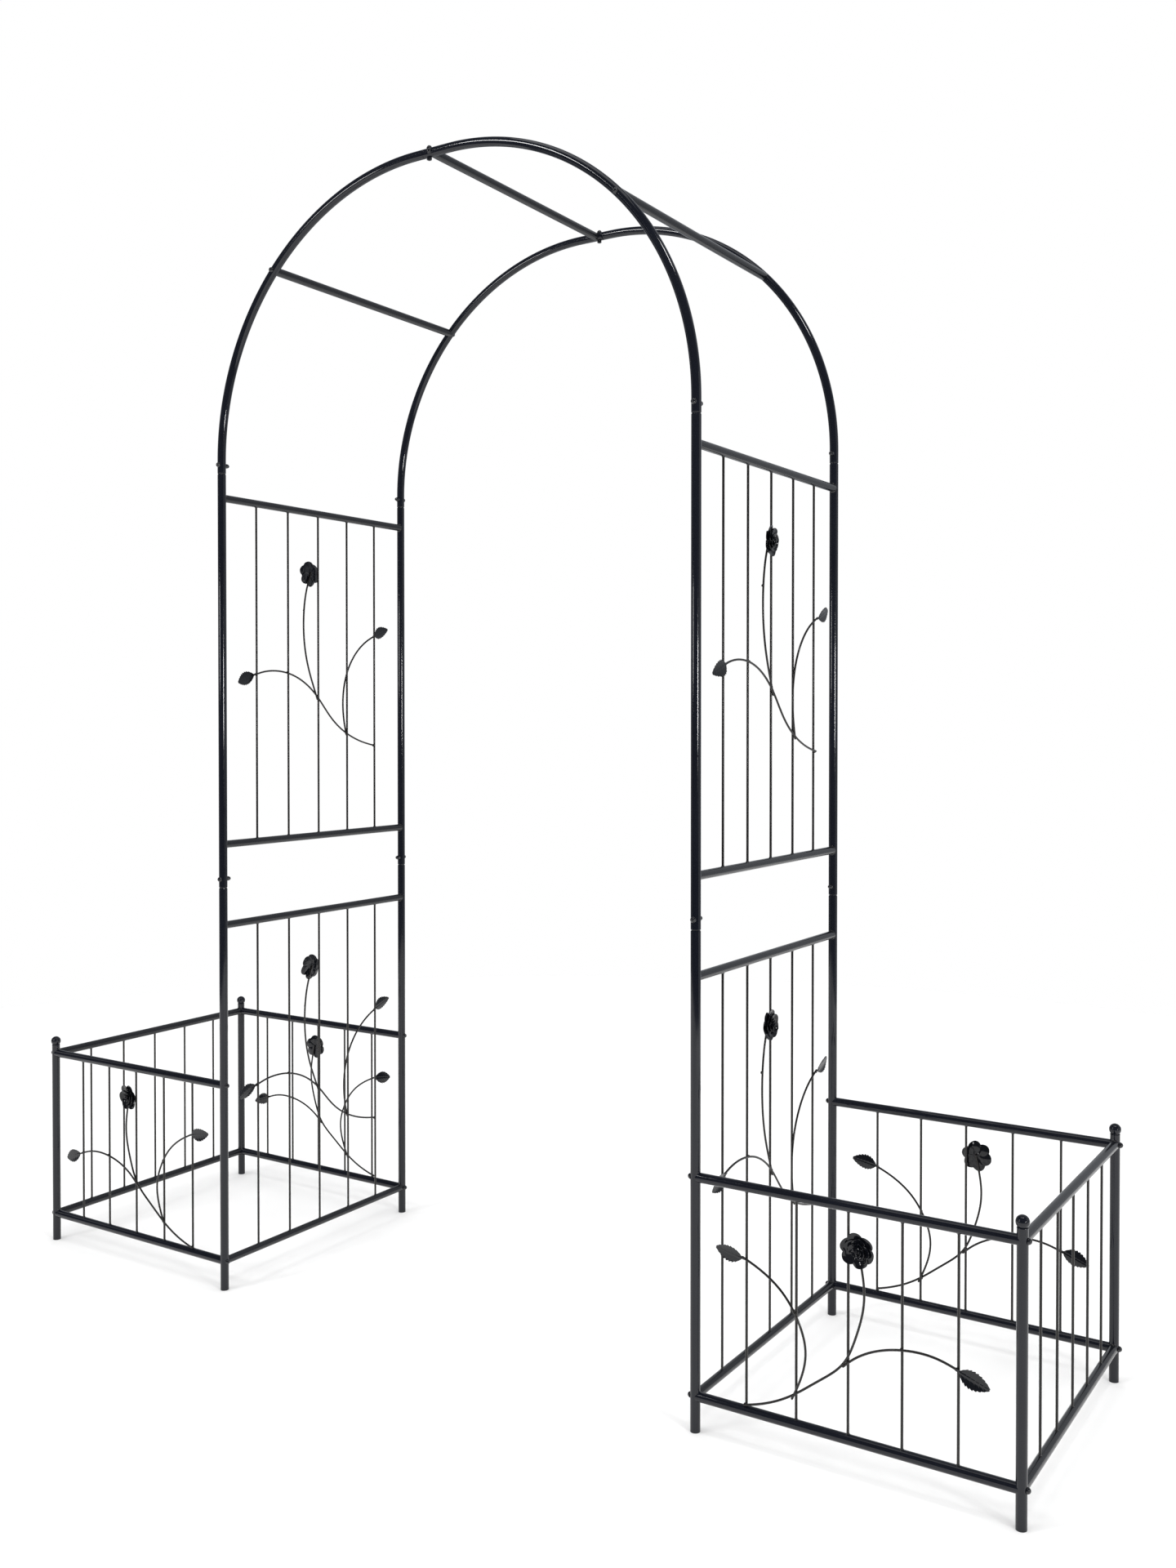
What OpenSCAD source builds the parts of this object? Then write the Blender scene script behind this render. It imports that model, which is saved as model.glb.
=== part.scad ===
// Garden trellis arch with a low planter enclosure on each side.
// Two hoops of plug-together steel tube stand a walkway apart. Welded side panels tie the front
// legs to the rear legs, three bars tie the hoops together overhead, and on each side two bolted
// panels and a welded end frame make the planter.
// Origin: on the ground at the middle. +X points to the right-hand planter, +Y to the rear hoop,
// +Z up. Every left part mirrors the right one, and every rear part mirrors the front one.

/* [Overall] */
// Distance across the walkway, between leg centres
arch_span = 1008; // [840:1:1210]
// Distance from the front hoop to the rear hoop, between tube centres
arch_depth = 515; // [429:1:618]
// Length of a lower leg, from the ground to its joint
leg_lower_length = 759; // [632:1:911]
// Length of an upper leg, from joint to joint
leg_upper_length = 775; // [645:1:930]
// Distance from a leg centre to its planter's corner post centre
planter_length = 492; // [410:1:591]
// Height of a corner post, without its ball
corner_post_height = 402; // [335:1:483]

/* [Tubes] */
// Outside diameter of the legs, hoop tubes and corner posts
tube_d = 15.5; // [13:0.1:18.6]
// Outside diameter of the side panels' rails
side_rail_d = 14; // [11.6:0.1:16.8]
// Outside diameter of the planter rails
planter_rail_d = 15; // [12.5:0.1:18]
// Outside diameter of the bars that tie the hoops
cross_bar_d = 15; // [12.5:0.1:18]
// Wall of every tube
tube_wall = 1.2; // [1:0.05:1.5]
// Length of the reduced end that plugs into the next tube
spigot_length = 26; // [22:0.5:31]
// Distance of the bolt at a tube joint from the joint's seam
joint_bolt_rise = 16; // [13:0.5:19]
// Play around a reduced end, on the radius
spigot_play = 0.15; // [0.1:0.01:0.2]
// Height of the bevel at a tube joint
joint_bevel = 2; // [1.6:0.1:2.4]
// Play of a bolted rail round the welded rail that meets it at the same leg or post
notch_play = 0.2; // [0.1:0.05:0.3]

/* [Hoop] */
// Straight stretch of a hoop tube above its lower joint
hoop_skirt = 23; // [19:0.5:28]
// Half the straight stretch at the crown
crown_flat = 34; // [30:0.5:41]
// Distance of the crown joint from the middle
crown_seam = 15; // [14:0.5:18]
// Distance of the crown joint's bolt from the middle
crown_bolt_offset = 6; // [5.5:0.5:7]
// Angle of the two lower bars round the hoop, from its side
cross_bar_angle = 45; // [37:1:54]

/* [Rails] */
// Height of every bottom rail above the ground
bottom_rail_height = 54; // [45:1:65]
// Drop of a lower side panel's top rail below the leg joint
lower_rail_drop = 71; // [59:1:85]
// Rise of an upper side panel's bottom rail above the leg joint
upper_rail_rise = 81; // [67:1:97]
// Drop of an upper side panel's top rail below the hoop joint
upper_rail_drop = 45; // [37:1:54]
// Drop of the planter's top rails below the corner post tops
planter_rail_drop = 16; // [13:1:19]

/* [Rods] */
// Diameter of the upright rods
rod_d = 4; // [3.3:0.1:4.8]
// Number of rods in each panel
rod_count = 5; // [3:2:7]
// Distance from a leg or corner post to the first rod in the side panels and the planter ends
side_rod_margin = 87.5; // [73:0.5:105]
// Distance from a leg or corner post to the first rod in the planter's front and rear panels
planter_rod_margin = 86; // [72:0.5:103]

/* [Vines] */
// Diameter of the vine wire
wire_d = 3.5; // [2.9:0.1:4.2]
// How far a bead of weld on a wire bites into the rod under it
weld_bite = 0.44; // [0.36:0.02:0.52]
// Drop of a side vine's middle weld below the middle of its panel
side_vine_drop = 42; // [35:1:50]
// Diameter of a rose
rose_d = 51; // [42:1:61]
// Length of a leaf
leaf_length = 46; // [38:1:52]
// Width of a leaf
leaf_width = 26; // [21:1:31]
// Thickness of the leaf and petal sheet
sheet = 1.2; // [1:0.1:1.4]

/* [Fasteners] */
// Thread diameter of the bolts
bolt_d = 5; // [4:0.5:6]
// Clearance of a bolt in its hole, on the diameter
bolt_play = 0.5; // [0.4:0.1:0.6]
// Diameter of a bolt head
bolt_head_d = 9.5; // [8:0.1:11.4]
// Height of a bolt head
bolt_head_h = 5; // [4.2:0.1:6]
// Width of a nut across its flats
nut_flats = 8; // [7:0.1:9.6]
// Height of a cap nut
nut_h = 10; // [8.4:0.1:12]
// Height of the plain nut under a crown joint
crown_nut_h = 4; // [3.3:0.1:4.8]
// Length of a threaded insert inside a rail or bar
insert_length = 12; // [10:0.5:14]
// Diameter of the ball on a corner post
ball_d = 19; // [16:0.1:22]

/* [Hidden] */
SIDES = ["left", "right"];
ENDS = ["front", "rear"];
$fn = 64;

// Black powder coat on the tubes, the wire and the stamped flowers, and on the fasteners
tube_colour = [0.11, 0.12, 0.15];
wire_colour = [0.13, 0.12, 0.12];
flower_colour = [0.10, 0.11, 0.14];
fastener_colour = [0.15, 0.16, 0.18];

half_span = arch_span / 2;
half_depth = arch_depth / 2;
tube_r = tube_d / 2;
bore_r = tube_r - tube_wall;
spigot_r = bore_r - spigot_play;
spigot_bore_r = spigot_r - tube_wall;
hole_d = bolt_d + bolt_play;

// Heights of the tube joints, the hoop's centre and its crown
leg_joint_z = leg_lower_length;
hoop_joint_z = leg_lower_length + leg_upper_length;
hoop_radius = half_span - crown_flat;
hoop_centre_z = hoop_joint_z + hoop_skirt;
crown_z = hoop_centre_z + hoop_radius;

// Heights of the rails
lower_rails = [bottom_rail_height, leg_joint_z - lower_rail_drop];
upper_rails = [leg_joint_z + upper_rail_rise, hoop_joint_z - upper_rail_drop];
planter_rails = [bottom_rail_height, corner_post_height - planter_rail_drop];

// Distance from the middle rod to the outermost one
side_rod_reach = half_depth - side_rod_margin;
planter_rod_reach = planter_length / 2 - planter_rod_margin;

// The three bars, as [x, z, turn of the hoop tube about Y]
cross_bar_x = crown_flat + hoop_radius * cos(cross_bar_angle);
cross_bar_z = hoop_centre_z + hoop_radius * sin(cross_bar_angle);
CROSS_BARS = [
    [-cross_bar_x, cross_bar_z, cross_bar_angle],
    [0, crown_z, 90],
    [cross_bar_x, cross_bar_z, -cross_bar_angle]
];

// The wire lies on the outer face of the rods, and the flowers on the wire
wire_lift = (rod_d + wire_d) / 2;
flower_lift = rod_d / 2 + wire_d;
// The diameter of a bead of weld, and how far from a stem's middle a branch starts, so that the
// bead on its end meets the stem
weld_bead_d = wire_d + 2 * weld_bite;
branch_reach = (wire_d + weld_bead_d) / 2 + 0.05;

// ---- Helpers -------------------------------------------------------------------------------

// Puts a right-hand, front part at the left or at the rear
module at_side(side) {
    if (side == "left") mirror([1, 0, 0]) children();
    else children();
}
module at_end(end) {
    if (end == "rear") mirror([0, 1, 0]) children();
    else children();
}
module at_corner(end, side) {
    at_side(side) at_end(end) children();
}

// Stands a panel drawn in the XY plane, with +Z as its outer face, on the front of the right
// planter, and on the outside of the right-hand legs
module on_planter_front() {
    translate([half_span + planter_length / 2, -half_depth, 0]) rotate([90, 0, 0]) children();
}
module on_right_side() {
    translate([half_span, 0, 0]) rotate([90, 0, 90]) children();
}

module ring(outer_r, inner_r) {
    difference() {
        circle(r = outer_r);
        circle(r = inner_r);
    }
}

// A tube with a bevelled lower end and, where it has one, a reduced upper end to plug in, on whose
// tapered shoulder the next tube's bore comes to rest. It stands on z = 0.
module straight_tube(length, bevelled, plug) {
    foot = bevelled ? [[bore_r, 0], [tube_r - joint_bevel / 3, 0], [tube_r, joint_bevel / 2]]
                    : [[bore_r, 0], [tube_r, 0]];
    head = plug ? [[tube_r, length - joint_bevel],
                   [bore_r, length],
                   [spigot_r, length],
                   [spigot_r, length + spigot_length],
                   [spigot_bore_r, length + spigot_length],
                   [spigot_bore_r, length - joint_bevel],
                   [bore_r, length - 2 * joint_bevel]]
                : [[tube_r, length], [bore_r, length]];
    rotate_extrude() polygon(concat(foot, head));
}

// A tube along +Z from the centre of one crossing tube to the centre of another, with both
// ends cut to sit on them. The crossing tubes run along Y.
module saddle_tube(outer_d, length) {
    difference() {
        cylinder(d = outer_d, h = length);
        translate([0, 0, -1]) cylinder(d = outer_d - 2 * tube_wall, h = length + 2);
        for (z = [0, length])
            translate([0, 0, z]) rotate([90, 0, 0]) cylinder(r = tube_r, h = 2 * outer_d, center = true);
    }
}

// A hole right through a tube, along +Y
module bolt_hole() {
    rotate([90, 0, 0]) cylinder(d = hole_d, h = 2 * tube_d, center = true);
}

// ---- Hoops ---------------------------------------------------------------------------------

// The front right lower leg: bolted through along Y at its joint and along X at the planter
module leg_lower() {
    color(tube_colour) translate([half_span, -half_depth, 0]) difference() {
        straight_tube(leg_lower_length, false, true);
        translate([0, 0, leg_joint_z + joint_bolt_rise]) bolt_hole();
        for (z = planter_rails) translate([0, 0, z]) rotate([0, 0, 90]) bolt_hole();
    }
}

module leg_upper() {
    color(tube_colour) translate([half_span, -half_depth, leg_joint_z]) difference() {
        straight_tube(leg_upper_length, true, true);
        for (z = [joint_bolt_rise, leg_upper_length + joint_bolt_rise])
            translate([0, 0, z]) bolt_hole();
    }
}

// Half of a hoop: a straight skirt over the leg, the bend, and a straight end at the crown. Both
// hoops are alike, and the rear one is turned round, so in front the left half plugs into the
// right one, and behind the right half plugs into the left one.
module hoop_tube(plug) {
    crown_end = plug ? crown_seam : -crown_seam;
    color(tube_colour) translate([0, -half_depth, 0]) difference() {
        union() {
            translate([half_span, 0, hoop_joint_z]) straight_tube(hoop_skirt, true, false);
            translate([crown_flat, 0, hoop_centre_z]) rotate([90, 0, 0])
                rotate_extrude(angle = 90) translate([hoop_radius, 0]) ring(tube_r, bore_r);
            translate([crown_flat, 0, crown_z]) rotate([0, -90, 0])
                straight_tube(crown_flat - crown_end, false, plug);
        }
        translate([half_span, 0, hoop_joint_z + joint_bolt_rise]) bolt_hole();
        translate([cross_bar_x, 0, cross_bar_z]) bolt_hole();
        translate([0, 0, crown_z]) bolt_hole();
        translate([plug ? crown_bolt_offset : -crown_bolt_offset, 0, crown_z])
            rotate([90, 0, 0]) bolt_hole();
    }
}

// A bar from the front hoop to the rear one, both ends cut to sit on the hoop tubes
module cross_bar(bar) {
    color(tube_colour) translate([bar[0], -half_depth, bar[1]]) rotate([-90, 0, 0])
        rotate([0, 0, bar[2]]) saddle_tube(cross_bar_d, arch_depth);
}

// ---- Side panels ---------------------------------------------------------------------------

module side_rails(rails) {
    color(tube_colour) for (z = rails)
        translate([half_span, -half_depth, z]) rotate([-90, 0, 0]) saddle_tube(side_rail_d, arch_depth);
}

// Upright rods between two rails, drawn in a panel's plane, cut to sit on the rails
module rods(rails, rail_d, reach) {
    pitch = 2 * reach / (rod_count - 1);
    color(wire_colour) for (i = [0 : rod_count - 1]) difference() {
        translate([i * pitch - reach, rails[0], 0]) rotate([-90, 0, 0])
            cylinder(d = rod_d, h = rails[1] - rails[0]);
        for (z = rails)
            translate([i * pitch - reach - rod_d, z, 0]) rotate([0, 90, 0])
                cylinder(d = rail_d, h = 2 * rod_d);
    }
}

// ---- Vines ---------------------------------------------------------------------------------

// A bend of wire is [start, end, bulge]: an arc that leaves the straight line between the two
// points by the bulge, to the left of the way it runs, or to the right where that is negative.
function bend_run(bend) = norm(bend[1] - bend[0]);
function bend_radius(bend) = (pow(bend_run(bend) / 2, 2) + pow(bend[2], 2)) / (2 * bend[2]);
function bend_sweep(bend) = 4 * atan(2 * bend[2] / bend_run(bend));
// Its heading at a share of its length
function bend_heading(bend, share) =
    atan2(bend[1][1] - bend[0][1], bend[1][0] - bend[0][0]) + bend_sweep(bend) * (0.5 - share);
function left_of(heading) = [-sin(heading), cos(heading)];
function bend_centre(bend) =
    (bend[0] + bend[1]) / 2 + (bend[2] - bend_radius(bend)) * left_of(bend_heading(bend, 0.5));
// The point at a share of its length, moved off the wire to its left
function beside(bend, share, off) =
    bend_centre(bend) + (bend_radius(bend) + off) * left_of(bend_heading(bend, share));

module wire(bend) {
    first = bend[2] > 0 ? bend_heading(bend, 1) + 90 : bend_heading(bend, 0) - 90;
    translate(concat(bend_centre(bend), wire_lift)) rotate([0, 0, first])
        rotate_extrude(angle = abs(bend_sweep(bend)))
            translate([abs(bend_radius(bend)), 0]) circle(d = wire_d);
}

// A wire that starts in a bead of weld
module welded_wire(bend) {
    translate(concat(bend[0], wire_lift)) rotate([90, 0, 0]) sphere(d = weld_bead_d);
    wire(bend);
}

// The side vine, about its weld to the middle rod: a stem to the low leaf and on to the last
// rod, a stem to the rose, and a branch to the high leaf
side_stem_low = [[0, 0], [-side_rod_reach, 39], -26];
side_stem_end = [[0, 0], [side_rod_reach + 1, -103], -21];
side_stem_rose = [beside(side_stem_low, 0.04, -branch_reach), [-16, 245], 29];
side_branch_high = [beside(side_stem_end, 0.55, branch_reach), [side_rod_reach + 6, 129], 47];
module side_vine(rails) {
    color(wire_colour) at_side_vine(rails) {
        welded_wire(side_stem_low);
        wire(side_stem_end);
        welded_wire(side_stem_rose);
        welded_wire(side_branch_high);
    }
}
module at_side_vine(rails) {
    translate([0, (rails[0] + rails[1]) / 2 - side_vine_drop, 0]) children();
}

// The planter vine, from the middle of the bottom rail: a stem from the foot of the first rod to
// the rose, turning on the middle rod, and branches to the leaf near the leg and the far leaf
planter_gap = planter_rails[1] - planter_rails[0];
planter_fork = [0, planter_gap / 3];
planter_stem_low = [planter_fork, [-planter_rod_reach - 2, (planter_rail_d + wire_d) / 2], 13];
planter_stem_rose = [planter_fork, [16, planter_gap - 58], -18];
planter_branch_near =
    [beside(planter_stem_low, 0.52, -branch_reach), [-planter_rod_reach - 3, planter_gap - 105], -50];
planter_branch_far =
    [beside(planter_stem_rose, 0.04, -branch_reach), [planter_rod_reach + 1, planter_fork[1] + 29], 24];
module planter_vine() {
    color(wire_colour) at_planter_vine() {
        welded_wire(planter_stem_low);
        wire(planter_stem_rose);
        welded_wire(planter_branch_near);
        welded_wire(planter_branch_far);
    }
}
module at_planter_vine() {
    translate([0, planter_rails[0], 0]) children();
}

// A ring of round petals in the plane, out to the given distance
module petals(count, outer, petal_r) {
    for (i = [0 : count - 1]) rotate(360 / count * i) translate([outer - petal_r, 0]) circle(r = petal_r);
}

// A stamped rose lying on z = 0: six petals, five smaller ones over them and a bud in two steps
module rose() {
    linear_extrude(2 * sheet) petals(6, rose_d / 2, rose_d * 0.23);
    translate([0, 0, sheet]) linear_extrude(3 * sheet) petals(5, rose_d * 0.33, rose_d * 0.16);
    translate([0, 0, 3 * sheet]) cylinder(r = rose_d * 0.11, h = 2 * sheet);
    translate([0, 0, 4 * sheet]) cylinder(r = rose_d * 0.06, h = 2 * sheet);
}

// A stamped leaf with a toothed edge, its stalk end at the origin and its tip along +X
leaf_teeth = 9;
tooth = 1.4;
function leaf_edge(t) = leaf_width / 2 * pow(sin(180 * pow(t, 0.8)), 0.75);
leaf_side = [
    for (i = [0 : leaf_teeth - 1], tip = [0, 1])
        let (t = (i + (tip == 1 ? 0.9 : 0.15)) / leaf_teeth)
        [t * leaf_length, max(tooth / 2, leaf_edge(t) - (tip == 1 ? 0 : tooth))]
];
module leaf() {
    stalk = wire_d * 1.5;
    translate([-stalk, -wire_d / 2, 0]) cube([stalk + 2 * tooth, wire_d, sheet]);
    linear_extrude(sheet) polygon(concat(
        [[0, 0]],
        leaf_side,
        [[leaf_length, 0]],
        [for (i = [len(leaf_side) - 1 : -1 : 0]) [leaf_side[i][0], -leaf_side[i][1]]]
    ));
}

// Puts a leaf or a rose on the end of a wire
module leaf_on(bend) {
    translate(concat(bend[1], flower_lift)) rotate([0, 0, bend_heading(bend, 1)]) leaf();
}
module rose_on(bend) {
    translate(concat(bend[1], flower_lift)) rose();
}

module side_roses() {
    color(flower_colour) for (side = SIDES, rails = [lower_rails, upper_rails])
        at_side(side) on_right_side() at_side_vine(rails) rose_on(side_stem_rose);
}
module side_leaves() {
    color(flower_colour) for (side = SIDES, rails = [lower_rails, upper_rails])
        at_side(side) on_right_side() at_side_vine(rails)
            for (bend = [side_stem_low, side_branch_high]) leaf_on(bend);
}
module planter_roses() {
    color(flower_colour) for (end = ENDS, side = SIDES)
        at_corner(end, side) on_planter_front() at_planter_vine() rose_on(planter_stem_rose);
}
module planter_leaves() {
    color(flower_colour) for (end = ENDS, side = SIDES)
        at_corner(end, side) on_planter_front() at_planter_vine()
            for (bend = [planter_branch_near, planter_branch_far]) leaf_on(bend);
}

// ---- Planters ------------------------------------------------------------------------------

module corner_post() {
    color(tube_colour) translate([half_span + planter_length, -half_depth, 0]) difference() {
        straight_tube(corner_post_height, false, false);
        for (z = planter_rails) translate([0, 0, z]) rotate([0, 0, 90]) bolt_hole();
    }
}

// A ball on a collar, with a plug that fills the post's end
module ball_finial() {
    collar_h = 1.5;
    plug_h = 12;
    translate([0, 0, -plug_h]) cylinder(r = bore_r, h = plug_h);
    cylinder(r = tube_r, h = collar_h);
    translate([0, 0, collar_h + ball_d * 0.38]) sphere(d = ball_d);
}
module ball_finials() {
    color(tube_colour) for (end = ENDS, side = SIDES) at_corner(end, side)
        translate([half_span + planter_length, -half_depth, corner_post_height]) ball_finial();
}

// The bolted rails of a front panel, notched where a welded rail meets the same leg or post
module planter_panel_rails() {
    color(tube_colour) for (z = planter_rails) difference() {
        translate([half_span, -half_depth, z]) rotate([0, 90, 0]) rotate([0, 0, 90])
            saddle_tube(planter_rail_d, planter_length);
        rail_notch(half_span + planter_length, z, planter_rail_d);
        if (z == bottom_rail_height) rail_notch(half_span, z, side_rail_d);
    }
}
module rail_notch(x, z, rail_d) {
    translate([x, -half_depth, z]) rotate([-90, 0, 0]) cylinder(d = rail_d + 2 * notch_play, h = tube_d);
}

module end_rails() {
    color(tube_colour) for (z = planter_rails)
        translate([half_span + planter_length, -half_depth, z]) rotate([-90, 0, 0])
            saddle_tube(planter_rail_d, arch_depth);
}

// ---- Fasteners -----------------------------------------------------------------------------

// A round-headed bolt along +Z from the outer face of a tube whose centre is the origin
module bolt(shank) {
    dome_r = (bolt_head_d * bolt_head_d / 4 + bolt_head_h * bolt_head_h) / (2 * bolt_head_h);
    translate([0, 0, -tube_r]) {
        cylinder(d = bolt_d, h = shank);
        intersection() {
            translate([0, 0, dome_r - bolt_head_h]) sphere(r = dome_r);
            translate([0, 0, -bolt_head_h]) cylinder(d = bolt_head_d, h = bolt_head_h);
        }
    }
}
through_shank = tube_d + nut_h / 2;
insert_start = 4;
insert_shank = tube_d + insert_start + insert_length;

// A plain hexagon nut on the far side of the same tube
module plain_nut() {
    translate([0, 0, tube_r]) difference() {
        cylinder(d = nut_flats / cos(30), h = crown_nut_h, $fn = 6);
        translate([0, 0, -1]) cylinder(d = bolt_d, h = crown_nut_h + 2);
    }
}

// A domed hexagon nut in the same place, closed at its end
module cap_nut() {
    hex_h = nut_h * 0.5;
    dome_r = nut_flats * 0.47;
    translate([0, 0, tube_r]) difference() {
        union() {
            cylinder(d = nut_flats / cos(30), h = hex_h, $fn = 6);
            cylinder(r = dome_r, h = nut_h - dome_r);
            translate([0, 0, nut_h - dome_r]) sphere(r = dome_r);
        }
        translate([0, 0, -1]) cylinder(d = bolt_d, h = nut_h / 2 + 1);
    }
}

// A threaded plug welded inside the end of a rail or bar that sits on the same tube
module threaded_insert(rail_d) {
    translate([0, 0, tube_r + insert_start]) difference() {
        cylinder(d = rail_d - 2 * tube_wall, h = insert_length);
        translate([0, 0, -1]) cylinder(d = bolt_d, h = insert_length + 2);
    }
}

// Places of the bolts, each looking inwards along +Z of its children. A crown joint's bolt stands
// upright beside the bar's, with its head on top.
module at_leg_joints() {
    for (end = ENDS, side = SIDES, z = [leg_joint_z, hoop_joint_z])
        at_corner(end, side) translate([half_span, -half_depth, z + joint_bolt_rise])
            rotate([-90, 0, 0]) children();
}
module at_crown_joints() {
    for (turn = [0, 180]) rotate([0, 0, turn])
        translate([-crown_bolt_offset, -half_depth, crown_z]) rotate([180, 0, 0]) children();
}
module at_cross_bar_ends() {
    for (end = ENDS, bar = CROSS_BARS)
        at_end(end) translate([bar[0], -half_depth, bar[1]]) rotate([-90, 0, 0]) children();
}
module at_planter_rail_ends() {
    for (end = ENDS, side = SIDES, z = planter_rails) at_corner(end, side) {
        translate([half_span, -half_depth, z]) rotate([0, 90, 0]) children();
        translate([half_span + planter_length, -half_depth, z]) rotate([0, -90, 0]) children();
    }
}

module tube_joint_bolts() {
    color(fastener_colour) {
        at_leg_joints() bolt(through_shank);
        at_crown_joints() bolt(through_shank);
    }
}
module tube_joint_nuts() {
    color(fastener_colour) at_leg_joints() cap_nut();
}
module crown_nuts() {
    color(fastener_colour) at_crown_joints() plain_nut();
}
module cross_bar_bolts() {
    color(fastener_colour) at_cross_bar_ends() bolt(insert_shank);
}
module cross_bar_inserts() {
    color(fastener_colour) at_cross_bar_ends() threaded_insert(cross_bar_d);
}
module planter_bolts() {
    color(fastener_colour) at_planter_rail_ends() bolt(insert_shank);
}
module planter_inserts() {
    color(fastener_colour) at_planter_rail_ends() threaded_insert(planter_rail_d);
}

// ---- The assembly --------------------------------------------------------------------------

for (end = ENDS, side = SIDES) at_corner(end, side) {
    corner = str("_", end, "_", side);
    leg_lower();
    leg_upper();
    hoop_tube((side == "left") == (end == "front"));
    corner_post();
    planter_panel_rails();
    on_planter_front() rods(planter_rails, planter_rail_d, planter_rod_reach);
    on_planter_front() planter_vine();
}
for (side = SIDES) at_side(side) {
    side_rails(lower_rails);
    side_rails(upper_rails);
    on_right_side() rods(lower_rails, side_rail_d, side_rod_reach);
    on_right_side() rods(upper_rails, side_rail_d, side_rod_reach);
    on_right_side() side_vine(lower_rails);
    on_right_side() side_vine(upper_rails);
    end_rails();
    translate([planter_length, 0, 0]) on_right_side() rods(planter_rails, planter_rail_d, side_rod_reach);
}
cross_bar(CROSS_BARS[0]);  // cross_bar_left
cross_bar(CROSS_BARS[1]);  // cross_bar_crown
cross_bar(CROSS_BARS[2]);  // cross_bar_right
side_roses();
side_leaves();
planter_roses();
planter_leaves();
ball_finials();
tube_joint_bolts();
tube_joint_nuts();
crown_nuts();
cross_bar_bolts();
cross_bar_inserts();
planter_bolts();
planter_inserts();
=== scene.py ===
"""Looks for the garden trellis arch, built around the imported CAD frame.

The tubes, rails and rods are the CAD nodes with a powder coat. The vines, roses, leaves, ball
finials, bolts and nuts are made here in more detail than the CAD needs, and so are the welds.
"""

import math
import random

import bpy
import numpy as np
from mathutils import Matrix, Vector


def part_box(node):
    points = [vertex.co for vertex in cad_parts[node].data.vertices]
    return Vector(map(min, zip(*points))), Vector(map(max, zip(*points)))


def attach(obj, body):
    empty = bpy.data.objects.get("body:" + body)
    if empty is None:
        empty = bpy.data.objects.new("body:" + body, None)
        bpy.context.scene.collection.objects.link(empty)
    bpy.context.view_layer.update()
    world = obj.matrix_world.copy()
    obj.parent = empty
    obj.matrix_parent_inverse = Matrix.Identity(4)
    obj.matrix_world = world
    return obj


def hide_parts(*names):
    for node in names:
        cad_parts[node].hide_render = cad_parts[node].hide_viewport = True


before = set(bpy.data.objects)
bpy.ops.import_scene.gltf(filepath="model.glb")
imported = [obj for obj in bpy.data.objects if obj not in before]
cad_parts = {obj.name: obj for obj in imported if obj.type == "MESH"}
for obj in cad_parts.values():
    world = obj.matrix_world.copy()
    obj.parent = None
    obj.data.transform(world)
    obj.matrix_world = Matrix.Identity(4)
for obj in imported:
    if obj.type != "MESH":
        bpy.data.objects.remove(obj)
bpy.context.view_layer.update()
MM = 0.001
ROOT = "root"


# ---- Sizes and places, read from the frame ---------------------------------------------------


def middle(node):
    low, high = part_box(node)
    return (low + high) / 2


def rail_lines(node):
    """(radius, height of the lower rail, height of the upper one) of a pair of rails along Y."""
    low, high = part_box(node)
    radius = (high.x - low.x) / 2
    return radius, low.z + radius, high.z - radius


leg_low, leg_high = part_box("leg_lower_front_right")
LEG_X = (leg_low.x + leg_high.x) / 2
HALF_DEPTH = -(leg_low.y + leg_high.y) / 2
TUBE_R = (leg_high.x - leg_low.x) / 2
POST_X = middle("corner_post_front_right").x
POST_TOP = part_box("corner_post_front_right")[1].z
SIDE_RAIL_R, LOWER_BOTTOM, LOWER_TOP = rail_lines("side_rails_lower_right")
UPPER_BOTTOM, UPPER_TOP = rail_lines("side_rails_upper_right")[1:]
PLANTER_RAIL_R, PLANTER_BOTTOM, PLANTER_TOP = rail_lines("end_rails_right")
rod_low, rod_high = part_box("side_rods_lower_right")
ROD_R = (rod_high.x - rod_low.x) / 2
SIDE_ROD_REACH = rod_high.y - ROD_R
planter_rod_low, planter_rod_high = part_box("planter_rods_front_right")
PLANTER_ROD_FIRST = planter_rod_low.x + ROD_R - LEG_X
PLANTER_ROD_LAST = planter_rod_high.x - ROD_R - LEG_X
ROD_COUNT = 5
SIDES = (("left", -1), ("right", 1))
ENDS = (("front", -1), ("rear", 1))

WIRE_R = 1.75 * MM
WIRE_LIFT = ROD_R + WIRE_R
FLOWER_LIFT = ROD_R + 2 * WIRE_R
ROSE_R = 25.5 * MM
LEAF_LENGTH = 46 * MM
LEAF_HALF_WIDTH = 13.4 * MM
LEAF_STALK = 4 * MM
# The middle weld of a side vine is this far below the middle of its panel
SIDE_VINE_DROP = 42 * MM


# ---- Coats -----------------------------------------------------------------------------------


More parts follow.
